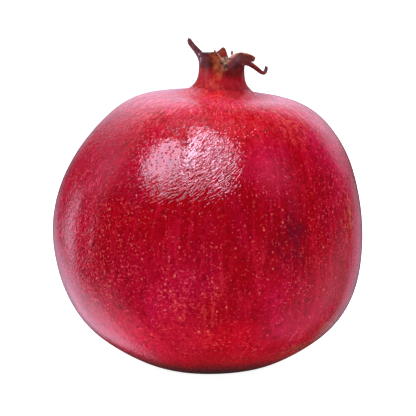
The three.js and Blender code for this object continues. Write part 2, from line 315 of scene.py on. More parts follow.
def body_grid():
    """The body's rows of points, sunk by the relief, with their heights and their climbs."""
    radius, height = spline(OUTLINE, outline_rows()).T
    points = body_point(radius[:, None], height[:, None], EVERY_AZIMUTH[None, :])
    around = np.roll(points, -1, 1) - np.roll(points, 1, 1)
    up = np.gradient(points, axis=0)
    outward = unit(np.cross(around, up))
    depth = relief(EVERY_AZIMUTH[None, :], height[:, None])
    steps = np.hypot(np.diff(radius), np.diff(height))
    climb = DIMPLE_RADIUS + np.concatenate([[0], np.cumsum(steps)])
    return points - outward * depth[..., None], height, climb


def add_body(shell, start):
    """The body, neck and tube, from the dimple's rim. Gives the ring at the tube's top and its climb."""
    grid, heights, climbs = body_grid()
    below = start
    for row, height, climb in zip(grid, heights, climbs):
        rise = float(smooth(height, NECK_FOOT, TUBE_HEIGHT))
        here = shell.add(row, skin_place(EVERY_AZIMUTH, climb), (rise, 0, 0))
        shell.band(below, here)
        below = here
    return below, climbs[-1]


def add_cup(shell, top):
    """The tube's inside, from its mouth down to the cup's floor. Gives the ring at the mouth."""
    mouth = ring(shell, TUBE_OUTER_RADIUS - TUBE_WALL, TUBE_HEIGHT, top, MOUTH_TONE)
    above = mouth
    places = [[TUBE_OUTER_RADIUS - TUBE_WALL, TUBE_HEIGHT], *CUP]
    last = len(places) - 1
    for u in np.arange(1, last * CUP_ROWS_PER_POINT + 1) / CUP_ROWS_PER_POINT:
        radius, height = spline(places, u)
        here = ring(shell, radius, height, top + TUBE_HEIGHT - height, CUP_TONE)
        shell.band(above, here)
        above = here
    shell.fan(above, place(0, 0, CUP_FLOOR), tone=CUP_FLOOR_TONE)
    return mouth


# ---- crown ----
# How far each way a line's direction is measured, as a share of the way between two of its points.
LINE_STEP = 0.01
# A flat lobe is given this slight bend, so that its curve has a centre.
LEAST_BEND = 1e-6
# How far up the skin a lobe's tip is from the tube's top.
LOBE_CLIMB = 9
# The rim's tone starts at these shares of the way across a lobe and along it.
RIM_ACROSS = 0.72
RIM_ALONG = 0.86


def lobe_azimuth(index):
    return NOTCH_AZIMUTH + LOBE_ANGLE * (index + 0.5)


def lobe_frames(lobe):
    """The places and directions along a lobe's line, carried up without spinning round it."""
    steps = LOBE_ROWS * FRAMES_PER_ROW
    out = np.array([1.0, 0, 0])
    frames = []
    for step in range(steps + 1):
        u = step / steps * (len(lobe["line"]) - 1)
        along = unit(spline(lobe["line"], u + LINE_STEP) - spline(lobe["line"], u - LINE_STEP))
        out = unit(out - along * out.dot(along))
        frames.append((spline(lobe["line"], u), out, np.cross(along, out)))
    return frames


def lobe_points(index, frame_at, t, s, depth):
    """Points of a lobe: s runs across it from -1 to 1, and depth from -1 inside to 1 outside."""
    lobe = LOBES[index]
    at, out, across = frame_at
    s = np.asarray(s, float)
    bend = float(glide(lobe["curl"], t)) / TUBE_RADIUS
    bend = bend if abs(bend) > LEAST_BEND else LEAST_BEND
    reach = HALF_ARC * float(glide(lobe["span"], t)) * s
    angle = bend * reach
    wall = TUBE_WALL + (LOBE_TIP_WALL - TUBE_WALL) * smooth(t, 0, 1)
    half = depth * wall * (1 - EDGE_THINNING * s * s * smooth(t, 0, EDGE_THINNING_END)) / 2
    sideways = np.sin(angle) / bend + np.sin(angle) * half
    outward = (np.cos(angle) - 1) / bend + np.cos(angle) * half
    local = at + sideways[..., None] * across + outward[..., None] * out
    facing = math.radians(lobe_azimuth(index))
    radius = TUBE_RADIUS + local[..., 0]
    x = radius * math.sin(facing) + local[..., 1] * math.cos(facing)
    y = -radius * math.cos(facing) + local[..., 1] * math.sin(facing)
    return place(x, y, TUBE_HEIGHT + local[..., 2])


def lobe_loop(shell, index, frame_at, t, top):
    """One closed row round a lobe: its outside, its right edge, its inside and its left edge."""
    face = np.linspace(-1, 1, COLUMNS_PER_LOBE + 1)
    turn = np.linspace(0, math.pi, EDGE_COLUMNS + 2)[1:-1]
    edge_s = 1 + EDGE_ROUNDING * np.sin(turn)
    edge_depth = np.cos(turn)
    s = np.concatenate([face, edge_s, face[::-1], -edge_s])
    depth = np.concatenate([np.ones_like(face), edge_depth, -np.ones_like(face), -edge_depth])
    inside = (1 - depth) / 2
    skin = skin_place(lobe_azimuth(index) + s * LOBE_ANGLE / 2, top + LOBE_CLIMB * t)
    rim = np.maximum(smooth(np.abs(s), RIM_ACROSS, 1), smooth(t, RIM_ALONG, 1))
    tone = np.stack([np.full_like(s, 1 + t), rim, inside], -1)
    return shell.add(lobe_points(index, frame_at, t, s, depth), skin, tone)


def cap_lobe(shell, loop):
    """Closes a lobe's tip between its outside and its inside."""
    face = COLUMNS_PER_LOBE + 1
    right_edge = loop[face:face + EDGE_COLUMNS]
    left_edge = loop[2 * face + EDGE_COLUMNS:]
    outside = loop[:face]
    inside = loop[face + EDGE_COLUMNS:2 * face + EDGE_COLUMNS][::-1]
    shell.strip(outside, inside)
    shell.faces.append([int(v) for v in [outside[-1], *right_edge, inside[-1]]])
    shell.faces.append([int(v) for v in [inside[0], *left_edge, outside[0]]])


def add_lobe(shell, index, rings, notches, top):
    """A lobe of the crown, from the tube's two rings and the lines across its wall at the notches."""
    outer, inner = rings
    columns = (index * COLUMNS_PER_LOBE + np.arange(COLUMNS_PER_LOBE + 1)) % COLUMNS
    right = notches[(index + 1) % LOBE_COUNT]
    left = notches[index][::-1]
    below = np.concatenate([outer[columns], right, inner[columns][::-1], left])
    frames = lobe_frames(LOBES[index])
    for row in range(1, LOBE_ROWS + 1):
        here = lobe_loop(shell, index, frames[row * FRAMES_PER_ROW], row / LOBE_ROWS, top)
        shell.band(below, here)
        below = here
    cap_lobe(shell, below)


def add_notches(shell, top):
    """At each notch, the vertices across the tube's wall that its two lobes share."""
    lines = []
    for index in range(LOBE_COUNT):
        azimuth = NOTCH_AZIMUTH + LOBE_ANGLE * index
        share = np.linspace(0, 1, EDGE_COLUMNS + 2)[1:-1]
        points = body_point(TUBE_OUTER_RADIUS - TUBE_WALL * share, TUBE_HEIGHT, azimuth)
        tone = np.stack([np.ones_like(share), np.ones_like(share), share], -1)
        lines.append(shell.add(points, skin_place(np.full_like(share, azimuth), top), tone))
    return lines


def make_rind():
    shell = Shell()
    outer, top = add_body(shell, add_base(shell))
    inner = add_cup(shell, top)
    notches = add_notches(shell, top)
    for index in range(LOBE_COUNT):
        add_lobe(shell, index, (outer, inner), notches, top)
    return shell.build("pomegranate_rind")


# ---- stamens ----
CLEARANCE = 0.3
BOSS = [[0, 0], [2.3, 0], [3.8, 0.5], [4.5, 2], [4.7, 4.3], [3.7, 4.4], [2.6, 2.6], [0, 2.2]]
BOSS_COLUMNS = 40
BOSS_ROWS_PER_POINT = 3
STAMEN_ROWS = [
    dict(count=34, radius=4.1, foot=4, length=6.6),
    dict(count=26, radius=3.3, foot=3.2, length=7),
    dict(count=20, radius=2.5, foot=2.4, length=7.2),
    dict(count=12, radius=1.6, foot=2, length=7),
]
STAMEN_SEED = 7
# Each stamen is off its even place by up to GAP_SHARE of the gap, and its tip turns within a range of
# TIP_TURN radians. Its reach and length are at least these shares of its row's, and up to the spread
# more. Its foot starts FOOT_SINK inside the boss.
GAP_SHARE = 0.7
TIP_TURN = 0.6
LEAST_REACH = 0.55
REACH_SPREAD = 0.5
LEAST_LENGTH = 0.72
LENGTH_SPREAD = 0.28
FOOT_SINK = 0.8
# Two stamens stand taller: [sideways, back, height above the cup's floor].
TALL_STAMENS = [[-2.2, -1.2, 12.9], [3.2, -0.6, 12.9]]
TALL_FOOT_SHARE = 0.8
TALL_FOOT_HEIGHT = 2.5
# A filament tapers between these shares of its radius, and a thread's end stands out by THREAD_END of it.
FILAMENT_RADIUS = 0.17
FILAMENT_TAPER = (1.15, 0.75)
FILAMENT_SIDES = 6
FILAMENT_STEPS = 9
FILAMENT_SWAY = 0.5
FILAMENT_ARCH = 0.3
THREAD_END = 0.6
ANTHER_RADIUS = 0.42
ANTHER_LENGTH = 0.75
ANTHER_CLEFT = 0.2
ANTHER_SIDES = 8
ANTHER_ROWS = [-0.92, -0.55, 0, 0.55, 0.92]
ANTHER_SWAY = 1
STYLE_RADIUS = 0.45
STYLE_TOP = 10.5
STYLE_LINE = [[0, 0, 1], [0.3, 0.2, STYLE_TOP / 2], [0.1, 0, STYLE_TOP]]
STYLE_PROFILE = [1.3, 1.1, 1, 0.95, 0.9, 0.9, 0.95, 1.2, 1.8, 1.75]
# The tone here is the kind, from 0 on a filament to 1 on an anther, then a shade, then the share of
# the way along a thread.
BOSS_TONE = (0, 0.3, 0)
STYLE_TONE = (0.5, 0.4)
FILAMENT_KIND = 0
ANTHER_KIND = 1
# Directions that no thread or anther follows, from which their sides are found.
THREAD_ASIDE = [0.31, 0.95, 0.05]
ANTHER_ASIDE = [0.6, 0.3, 0.74]


def crown_place(points):
    """Where points above the cup's floor are on the fruit."""
    points = np.asarray(points, float)
    return place(points[..., 0], points[..., 1], points[..., 2] + CUP_FLOOR + CLEARANCE)


def in_crown(points, tone):
    """What a shell adds for points above the cup's floor."""
    return crown_place(points), points, tone


def full_turn(count):
    return np.linspace(0, 2 * math.pi, count, endpoint=False)


def circle(turn, side, other):
    """Points round a circle that starts towards side and goes on towards other."""
    return np.cos(turn)[:, None] * side + np.sin(turn)[:, None] * other


def around(turn, radius, height):
    """Points round the axis, from -Y towards +X."""
    level = np.broadcast_to(height, np.shape(turn))
    return np.stack([radius * np.sin(turn), -radius * np.cos(turn), level], -1)


def add_thread(shell, path, radii, tone):
    """A round thread along a path of points, closed at both ends."""
    steps = len(radii)
    places = spline(path, np.linspace(0, len(path) - 1, steps))
    along = unit(np.gradient(places, axis=0))
    side = unit(np.cross(along, THREAD_ASIDE))
    other = np.cross(along, side)
    turn = full_turn(FILAMENT_SIDES)
    rings = (
        shell.add(*in_crown(at + radius * circle(turn, s, o), (*tone, t)))
        for at, s, o, radius, t in zip(places, side, other, radii, np.linspace(0, 1, steps))
    )
    end = places[-1] + along[-1] * radii[-1] * THREAD_END
    shell.loft(rings, in_crown(places[0], (*tone, 0)), in_crown(end, (*tone, 1)))


def add_anther(shell, at, axis, tone):
    """A small split bean on the end of a filament."""
    axis = unit(np.asarray(axis, float))
    side = unit(np.cross(axis, ANTHER_ASIDE))
    other = np.cross(axis, side)
    turn = full_turn(ANTHER_SIDES)
    split = 1 + ANTHER_CLEFT * np.cos(2 * turn)
    rings = []
    for t in ANTHER_ROWS:
        radius = ANTHER_RADIUS * math.sqrt(1 - t * t) * split
        points = at + axis * t * ANTHER_LENGTH + radius[:, None] * circle(turn, side, other)
        rings.append(shell.add(*in_crown(points, tone)))
    tips = [in_crown(at + axis * length, tone) for length in (-ANTHER_LENGTH, ANTHER_LENGTH)]
    shell.loft(rings, *tips)


def add_boss(shell):
    """The low cushion on the cup's floor that carries the stamens."""
    turn = full_turn(BOSS_COLUMNS)
    last = len(BOSS) - 1
    rings = []
    for u in np.linspace(0, last, last * BOSS_ROWS_PER_POINT + 1)[1:-1]:
        rings.append(shell.add(*in_crown(around(turn, *spline(BOSS, u)), BOSS_TONE)))
    ends = [in_crown([0, 0, height], BOSS_TONE) for _, height in (BOSS[0], BOSS[-1])]
    shell.loft(rings, *ends)


def sway(draw, width):
    """A random amount within a range that wide, with 0 in its middle."""
    return width * (draw.random() - 0.5)


def add_stamen(shell, foot, tip, draw):
    """A bowed filament from foot to tip, and its anther."""
    bow = [sway(draw, FILAMENT_SWAY), sway(draw, FILAMENT_SWAY), FILAMENT_ARCH]
    middle = (foot + tip) / 2 + bow
    radii = FILAMENT_RADIUS * np.linspace(*FILAMENT_TAPER, FILAMENT_STEPS)
    add_thread(shell, [foot, middle, tip], radii, (FILAMENT_KIND, draw.random()))
    axis = tip - middle + [sway(draw, ANTHER_SWAY), sway(draw, ANTHER_SWAY), 0]
    add_anther(shell, tip, axis, (ANTHER_KIND, draw.random(), 1))


def add_row(shell, draw, count, radius, foot, length):
    """A row of stamens round the boss, each a little off its even place."""
    for index in range(count):
        angle = 2 * math.pi * (index + GAP_SHARE * draw.random()) / count
        turned = angle + sway(draw, TIP_TURN)
        reach = radius * (LEAST_REACH + REACH_SPREAD * draw.random())
        height = foot + length * (LEAST_LENGTH + LENGTH_SPREAD * draw.random())
        start = around(angle, radius, foot - FOOT_SINK)
        add_stamen(shell, start, around(turned, reach, height), draw)


def make_stamens():
    """The boss, the rows of stamens, the two tall ones and the style in their middle."""
    shell = Shell()
    draw = np.random.default_rng(STAMEN_SEED)
    add_boss(shell)
    for row in STAMEN_ROWS:
        add_row(shell, draw, **row)
    for x, y, z in TALL_STAMENS:
        foot = np.array([TALL_FOOT_SHARE * x, TALL_FOOT_SHARE * y, TALL_FOOT_HEIGHT])
        add_stamen(shell, foot, np.array([x, y, z]), draw)
    add_thread(shell, STYLE_LINE, STYLE_RADIUS * np.array(STYLE_PROFILE), STYLE_TONE)
    return shell.build("pomegranate_stamens")


# ---- stalk stub ----
STALK = [[0, 0.4], [2.3, 0.4], [2.5, 0.7], [2.6, 1.4], [3, 1.8], [2.8, 2.05], [0, 2.05]]
STALK_COLUMNS = 72
STALK_ROWS_PER_POINT = 5
# Flutes and finer fibres down its side: how many, and half their depth as a share of the radius.
FLUTES = 9
FLUTE_DEPTH = 0.05
FLUTE_SWAY = 0.8
FIBRES = 23
FIBRE_DEPTH = 0.02
# The torn cut across its lower end, which evens out between these places along the outline.
CUT_HEIGHT = 0.12
CUT_START = 0.6
CUT_END = 1.4
CUT_WAVES = 3
CUT_FULL_RADIUS = 2


def stalk_flutes(turn):
    """The stalk's radius round it, as a share of the outline's."""
    swaying = FLUTES * turn + FLUTE_SWAY * np.sin(2 * turn)
    flutes = FLUTE_DEPTH * (1 + np.cos(swaying))
    return 1 - flutes - FIBRE_DEPTH * (1 + np.cos(FIBRES * turn))


def stalk_cut(turn, u, radius):
    """How far the cut's torn surface stands above the outline."""
    torn = 1 + np.cos(CUT_WAVES * turn + CUT_WAVES * radius)
    return CUT_HEIGHT * (1 - smooth(u, CUT_START, CUT_END)) * torn * min(radius / CUT_FULL_RADIUS, 1)


def make_stalk():
    shell = Shell()
    axis = np.array([LEAN[0], 0, 0])
    turn = full_turn(STALK_COLUMNS)
    last = len(STALK) - 1
    rings = []
    for u in np.linspace(0, last, last * STALK_ROWS_PER_POINT + 1)[1:-1]:
        radius, height = spline(STALK, u)
        lifted = height + stalk_cut(turn, u, radius)
        points = axis + around(turn, radius * stalk_flutes(turn), lifted)
        rings.append(shell.add(points, points))
    ends = [axis + [0, 0, height] for _, height in (STALK[0], STALK[-1])]
    shell.loft(rings, *[(end, end) for end in ends])
    return shell.build("pomegranate_stalk")


# ---- materials ----
class Nodes:
    """A node tree whose nodes are each made in one call and wired to what they take."""

    def __init__(self, tree):
        self.tree = tree

    def put(self, socket, value):
        if isinstance(value, bpy.types.NodeSocket):
            self.tree.links.new(value, socket)
        elif isinstance(value, (tuple, list)) and len(value) == 3 and socket.type == "RGBA":
            socket.default_value = (*value, 1)
        else:
            socket.default_value = value

    def node(self, kind, settings=None, **inputs):
        node = self.tree.nodes.new(kind)
        for key, value in (settings or {}).items():
            setattr(node, key, value)
        for key, value in inputs.items():
            self.put(node.inputs[key.replace("_", " ")], value)
        return node

    def ordered(self, kind, *values, **settings):
        """A node that gets its inputs in their order."""
        node = self.node(kind, settings)
        for socket, value in zip(node.inputs, values):
            self.put(socket, value)
        return node

    def math(self, operation, *values):
        return self.ordered("ShaderNodeMath", *values, operation=operation).outputs[0]

    def add(self, a, b):
        return self.math("ADD", a, b)

    def times(self, a, b):
        return self.math("MULTIPLY", a, b)

    def measure(self, operation, *vectors):
        """The number that a vector operation gives."""
        return self.ordered("ShaderNodeVectorMath", *vectors, operation=operation).outputs["Value"]

    def within(self, value, low, high, start=0.0, end=1.0, kind="SMOOTHSTEP"):
        """value's share of the way from low to high, eased, as a number from start to end."""
        node = self.node("ShaderNodeMapRange", dict(interpolation_type=kind), Value=value)
        limits = {"From Min": low, "From Max": high, "To Min": start, "To Max": end}
        for key, number in limits.items():
            node.inputs[key].default_value = number
        return node.outputs["Result"]


class Paint(Nodes):
    """A material's nodes, up to its shader."""

    def __init__(self, name):
        self.material = bpy.data.materials.new(name)
        self.material.use_nodes = True
        super().__init__(self.material.node_tree)
        self.shader = self.tree.nodes["Principled BSDF"]

    def attribute(self, name):
        return self.node("ShaderNodeAttribute", dict(attribute_name=name)).outputs["Vector"]

    def split(self, vector):
        return self.node("ShaderNodeSeparateXYZ", Vector=vector).outputs

    def scaled(self, vector, scale, shift=(0, 0, 0)):
        return self.node("ShaderNodeMapping", Vector=vector, Scale=scale, Location=shift).outputs[0]

    def noise(self, vector, scale, detail=2.0, rough=0.5, bend=0.0):
        sockets = dict(Vector=vector, Scale=scale, Detail=detail, Roughness=rough, Distortion=bend)
        return self.node("ShaderNodeTexNoise", **sockets).outputs["Fac"]

    def cells(self, vector, scale):
        node = self.node("ShaderNodeTexVoronoi", Vector=vector, Scale=scale, Randomness=1.0)
        return node.outputs["Distance"], node.outputs["Color"]

    def mix(self, share, a, b):
        """Colour a, turning into colour b as share goes from 0 to 1."""
        node = self.node("ShaderNodeMix", dict(data_type="RGBA", clamp_factor=True))
        for socket, value in zip((node.inputs["Factor"], node.inputs[6], node.inputs[7]), (share, a, b)):
            self.put(socket, value)
        return node.outputs[2]

    def bump(self, height, distance, normal=None):
        """Relief that stands distance metres high where height is 1, on top of that of normal."""
        node = self.node("ShaderNodeBump", Height=height, Strength=1.0, Distance=distance)
        if normal is not None:
            self.put(node.inputs["Normal"], normal)
        return node.outputs[0]

    def finish(self, **sockets):
        for key, value in sockets.items():
            self.put(self.shader.inputs[key.replace("_", " ")], value)
        return self.material


def srgb(red, green, blue):
    """A colour given as it is seen, 0 to 255, as the shader takes it."""
    shares = [value / 255 for value in (red, green, blue)]
    return tuple(v / 12.92 if v <= 0.04045 else ((v + 0.055) / 1.055) ** 2.4 for v in shares)


# Colours of the body.
DARK_CRIMSON = srgb(146, 0, 12)
CRIMSON = srgb(170, 0, 24)
SCARLET = srgb(186, 0, 8)
# Magenta of the skin, which also serves as painted sheen.
MAGENTA_AND_SHEEN = srgb(186, 10, 68)
DEEP_RED = srgb(132, 0, 12)
# Painted bounce light from the floor, low down.
LOW_PAINTED_BOUNCE_RED = srgb(204, 6, 36)
# Painted bounce light and reflection, low on the front left.
ROSE_PAINTED_BOUNCE = srgb(236, 36, 84)
STREAK_RED = srgb(198, 20, 58)
MOTTLE_DARK = srgb(112, 0, 14)
SHOULDER_PINK = srgb(220, 54, 96)
APRICOT = srgb(246, 152, 112)
PALE_PINK = srgb(248, 150, 168)
FLANK_PINK = srgb(216, 58, 100)
GROUND_YELLOW = srgb(210, 98, 58)
GRAIN_DARK = srgb(104, 0, 14)
SPECK_ORANGE = srgb(222, 80, 74)
SPECK_PINK = srgb(222, 90, 108)
DOT_ORANGE = srgb(228, 104, 90)
BRUISE_PURPLE = srgb(80, 8, 34)
RUSSET_BROWN = srgb(140, 100, 70)
# Painted contact shade round the foot.
FOOT_PAINTED_SHADE = srgb(22, 0, 4)

# Colours of the crown: its neck, the lobes' outside, their inside and their edges.
NECK_RED = srgb(206, 8, 30)
NECK_DARK = srgb(174, 0, 22)
NECK_ORANGE = srgb(228, 84, 50)
LOBE_MAROON = srgb(84, 0, 0)
LOBE_RED = srgb(150, 14, 4)
LOBE_BROWN = srgb(140, 62, 36)
LOBE_TAN = srgb(200, 104, 60)
INSIDE_BROWN = srgb(120, 42, 36)
INSIDE_PLUM = srgb(112, 48, 58)
INSIDE_ORANGE = srgb(216, 60, 10)
EDGE_DARK = srgb(72, 20, 26)
EDGE_PLUM = srgb(104, 48, 56)
EDGE_TAN = srgb(190, 118, 92)
EDGE_MAROON = srgb(130, 44, 40)

# Colours of the dry stamens and of the stalk's wood.
FILAMENT_BROWN = srgb(160, 104, 60)
FILAMENT_STRAW = srgb(202, 160, 112)
FILAMENT_DARK = srgb(132, 84, 54)
ANTHER_BROWN = srgb(92, 62, 44)
DUST = srgb(202, 180, 140)
WOOD_DARK = srgb(84, 58, 40)
WOOD_LIGHT = srgb(140, 104, 72)

# Where the skin differs: soft ovals, each [azimuth, height, half width, half height, share].
PLACES = dict(
    # The skin's own magenta clouds, except that [26, 69] and [-60, 68] are painted sheen and [-76, 36] on
    # the left flank is partly painted sheen.
    magenta_and_sheen=[
        [-76, 36, 24, 40, 1.0], [-26, 36, 18, 14, 0.45], [36, 24, 20, 16, 0.35], [26, 69, 6, 7, 0.6],
        [-60, 68, 12, 13, 0.8], [66, 72, 12, 16, 1.0], [72, 37, 8, 18, 1.0], [120, 40, 30, 30, 0.35],
    ],
    scarlet=[
        [6, 84, 15, 6, 1.0], [-30, 80, 8, 5, 0.5], [-12, 52, 16, 12, 0.8], [-40, 50, 8, 12, 0.6],
        [2, 6, 26, 4, 0.8], [-170, 60, 24, 18, 0.7],
    ],
    deep=[
        [2, 54, 26, 13, 1.0], [-26, 62, 12, 9, 0.8], [-62, 72, 8, 10, 0.6], [44, 56, 12, 16, 0.6],
        [-28, 48, 18, 12, 0.5], [4, 34, 10, 7, 0.5], [35, 64, 8, 12, 0.6],
    ],
    # Painted bounce light and reflection, low on the front left.
    rosy_painted_bounce=[[-38, 15, 14, 9, 0.55], [-12, 18, 9, 9, 0.25]],
    not_pink=[[8, 81, 20, 8, 1.0], [36, 75, 16, 11, 0.9], [-22, 82, 10, 5, 0.6]],
    streaked=[[-62, 62, 12, 18, 0.45], [66, 56, 6, 20, 0.3], [100, 60, 16, 20, 0.4]],
    yellow=[
        [-6, 24, 10, 20, 0.28], [-44, 85, 6, 5, 1.0], [44, 82, 5, 8, 0.7], [62, 54, 4, 14, 0.9],
        [6, 91, 12, 2.5, 0.7], [150, 60, 14, 20, 0.8], [-120, 30, 12, 16, 0.8],
    ],
    crowded=[
        [-46, 44, 18, 20, 1.0], [-14, 36, 22, 16, 0.5], [32, 46, 13, 18, 0.6], [52, 54, 10, 24, 0.6],
        [-40, 84, 14, 8, 0.6], [20, 88, 24, 6, 0.7], [170, 45, 24, 20, 0.8], [-120, 60, 16, 16, 0.8],
    ],
    bruised=[[33, 52, 3.5, 10, 1.0], [27, 46, 5, 8, 0.5], [-165, 52, 5, 10, 0.8]],
    russet=[
        [60, 16, 6, 7, 1.0], [46, 11, 8, 2.5, 0.8], [66, 52, 2.5, 6, 0.7], [-95, 12, 9, 5, 0.6],
    ],
    maroon=[[-26, 99, 5, 4, 0.6], [34, 99.5, 8, 6, 0.9]],
    coarse=[[0, 73, 8, 14, 0.9], [-20, 65, 15, 4, 0.7], [-140, 66, 14, 14, 0.8]],
    sleek=[[-20, 76, 7, 6, 1.0]],
    calm=[[-66, 54, 9, 16, 0.9], [17, 71, 5, 12, 0.9], [-72, 26, 22, 20, 0.8]],
)
OUTLINE_SAMPLES = 400


def surface_place(azimuth, height):
    """The body's point at that azimuth and height, in metres."""
    rows = spline(OUTLINE, np.linspace(0, len(OUTLINE) - 1, OUTLINE_SAMPLES))
    radius = float(np.interp(height, rows[:, 1], rows[:, 0]))
    return body_point(radius, height, azimuth) / 1000


class RindPaint(Paint):
    """The rind's material, with the places and noises from which its layers are made."""

    def __init__(self):
        super().__init__("pomegranate_skin")
        self.skin = self.attribute("skin")
        self.across, self.depth, self.climb = self.split(self.skin)
        self.rise, self.rim, self.inside = self.split(self.attribute("tone"))
        self.spot = self.node("ShaderNodeTexCoord").outputs["Object"]
        self.grid = self.scaled(self.spot, (1000, 1000, 1000))
        self.broad = self.noise(self.skin, 0.035, bend=0.4)
        tall = self.scaled(self.skin, (1, 1, 0.45))
        self.middle = self.noise(tall, 0.11, detail=4.0, rough=0.6, bend=0.6)
        self.mottle = self.noise(self.grid, 0.22, detail=4.0, rough=0.62, bend=0.8)
        taller = self.scaled(self.skin, (1, 1, 0.12))
        self.streak = self.noise(taller, 0.6, detail=4.0, rough=0.65, bend=0.4)
        raised = self.scaled(self.grid, (1, 1, 0.7))
        self.fine = self.noise(raised, 0.75, detail=3.0, rough=0.6, bend=0.5)
        self.grain = self.noise(self.grid, 1.45, detail=1.5, rough=0.55, bend=0.6)
        self.flecks = self.noise(self.grid, 0.6, detail=3.0, rough=0.6, bend=0.6)
        clouds = self.within(self.broad, 0.45, 0.3, end=0.4)
        # Magenta clouds of the skin, with painted sheen in some of the places.
        self.bluish_and_sheen = self.add(self.times(self.patches("magenta_and_sheen", 0.8), 0.8), clouds)

    def patches(self, name, soft):
        """The strongest of the places of that name, 0 outside them all; soft widens their edges."""
        found = None
        for azimuth, height, wide, tall, share in PLACES[name]:
            shrink = (1000 / wide, 1000 / wide, 1000 / tall)
            centre = surface_place(azimuth, height)
            shift = [-value * factor for value, factor in zip(centre, shrink)]
            away = self.measure("LENGTH", self.scaled(self.spot, shrink, shift))
            one = self.times(self.within(away, 1 - soft, 1 + soft, 1.0, 0.0), share)
            found = one if found is None else self.math("MAXIMUM", found, one)
        return found


def pigment(p):
    """Crimson, in clouds of scarlet, magenta and deeper red, where some magenta spots are painted sheen,
    and brighter and rosier low down with painted bounce light from the floor.
    """
    colour = p.mix(p.within(p.middle, 0.35, 0.68), DARK_CRIMSON, CRIMSON)
    ruddy = p.add(p.times(p.patches("scarlet", 0.8), 0.7), p.within(p.broad, 0.55, 0.7, end=0.5))
    colour = p.mix(p.times(ruddy, p.within(p.mottle, 0.3, 0.55, start=0.4)), colour, SCARLET)
    # Magenta clouds of the skin and spots of painted sheen.
    colour = p.mix(p.times(p.bluish_and_sheen, p.within(p.mottle, 0.35, 0.6, start=0.5)), colour, MAGENTA_AND_SHEEN)
    colour = p.mix(p.times(p.patches("deep", 0.8), 0.6), colour, DEEP_RED)
    # Painted bounce light: brighter red low down, where the floor lights the fruit.
    colour = p.mix(p.within(p.climb, 44, 24, end=0.6), colour, LOW_PAINTED_BOUNCE_RED)
    # Painted bounce light and reflection in the rosy places low on the front left.
    colour = p.mix(p.times(p.patches("rosy_painted_bounce", 0.8), 0.9), colour, ROSE_PAINTED_BOUNCE)
    colour = p.mix(p.within(p.streak, 0.48, 0.66, end=0.4), colour, STREAK_RED)
    return p.mix(p.within(p.fine, 0.52, 0.32, end=0.6), colour, MOTTLE_DARK)


def shoulder(p, colour):
    """Pink mottles and pale strokes on the shoulder, and pink strokes down the flanks."""
    not_pink = p.add(1.0, p.times(p.patches("not_pink", 0.4), -0.8))
    upward = p.times(p.within(p.climb, 104, 128), not_pink)
    hatch = p.noise(p.scaled(p.skin, (1, 1, 0.4)), 0.45, detail=3.0, rough=0.65, bend=1.0)
    pinker = p.add(p.times(p.add(p.fine, hatch), 0.4), p.times(p.mottle, 0.2))
    pinker = p.times(p.times(upward, p.within(pinker, 0.4, 0.6)), 0.8)
    colour = p.mix(pinker, colour, SHOULDER_PINK)
    stroke = p.noise(p.scaled(p.skin, (1, 1, 0.35)), 0.9, rough=0.6, bend=0.6)
    stroke = p.within(stroke, 0.53, 0.66)
    pale = p.mix(p.within(p.mottle, 0.4, 0.6), APRICOT, PALE_PINK)
    colour = p.mix(p.times(p.times(stroke, upward), 0.45), colour, pale)
    return p.mix(p.times(stroke, p.patches("streaked", 0.6)), colour, FLANK_PINK)


def yellow_ground(p, colour):
    """The rind's yellow ground, which shows through in streaks and mottles."""
    bare = p.add(p.within(p.middle, 0.56, 0.7, end=0.5), p.patches("yellow", 0.6))
    broken = p.add(p.times(p.add(p.fine, p.grain), 0.5), p.times(p.streak, 0.5))
    shown = p.times(bare, p.within(broken, 0.76, 0.88))
    return p.mix(p.times(shown, 0.5), colour, GROUND_YELLOW)


def speckle(p, colour):
    """Fine specks and small round dots, crowded in some places, with dark skin between them."""
    crowd = p.times(p.patches("crowded", 0.8), 0.75)
    crowd = p.add(p.within(p.mottle, 0.45, 0.62, end=0.35), crowd)
    shadow = p.times(p.within(p.grain, 0.5, 0.38, end=0.6), p.within(p.climb, 128, 104, start=0.2))
    colour = p.mix(p.times(shadow, p.add(crowd, 0.15)), colour, GRAIN_DARK)
    specks = p.within(p.add(p.grain, p.times(crowd, 0.1)), 0.66, 0.76)
    colour = p.mix(p.times(specks, 0.6), colour, p.mix(p.bluish_and_sheen, SPECK_ORANGE, SPECK_PINK))

    distance, tag = p.cells(p.scaled(p.grid, (1, 1, 0.8)), 0.7)
    big, show, _ = p.split(tag)
    radius = p.add(p.times(p.times(big, big), 0.24), 0.05)
    dots = p.within(p.math("DIVIDE", distance, radius), 0.5, 1.3, 1.0, 0.0)
    shown = p.within(p.add(p.add(show, crowd), p.times(p.flecks, 1.6)), 1.65, 2.15)
    return p.mix(p.times(p.times(dots, shown), 0.6), colour, DOT_ORANGE)


def blemishes(p, colour):
    """Bruises, russet, and painted contact shade: a dark ring round the foot."""
    uneven = p.within(p.add(p.mottle, p.times(p.streak, 0.5)), 0.6, 0.85, 0.3, 0.9)
    colour = p.mix(p.times(p.times(p.patches("bruised", 0.9), uneven), 0.8), colour, BRUISE_PURPLE)
    scurf = p.within(p.add(p.fine, p.times(p.mottle, 0.5)), 0.7, 0.86)
    colour = p.mix(p.times(p.times(p.patches("russet", 0.8), scurf), 0.65), colour, RUSSET_BROWN)
    # Painted contact shade: darker from 10.5 mm above the floor down to it.
    return p.mix(p.within(p.split(p.grid)[2], 10.5, 1.0, end=0.95), colour, FOOT_PAINTED_SHADE)


def neck(p, colour):
    """A crimson neck, darker towards +X, with orange mottles towards -X."""
    red = p.mix(p.within(p.across, -8, 20), NECK_RED, NECK_DARK)
    mottled = p.times(p.within(p.fine, 0.5, 0.66, end=0.7), p.within(p.across, 14, -6))
    red = p.mix(mottled, red, NECK_ORANGE)
    return p.mix(p.within(p.climb, 132, 142, end=0.95), colour, red)


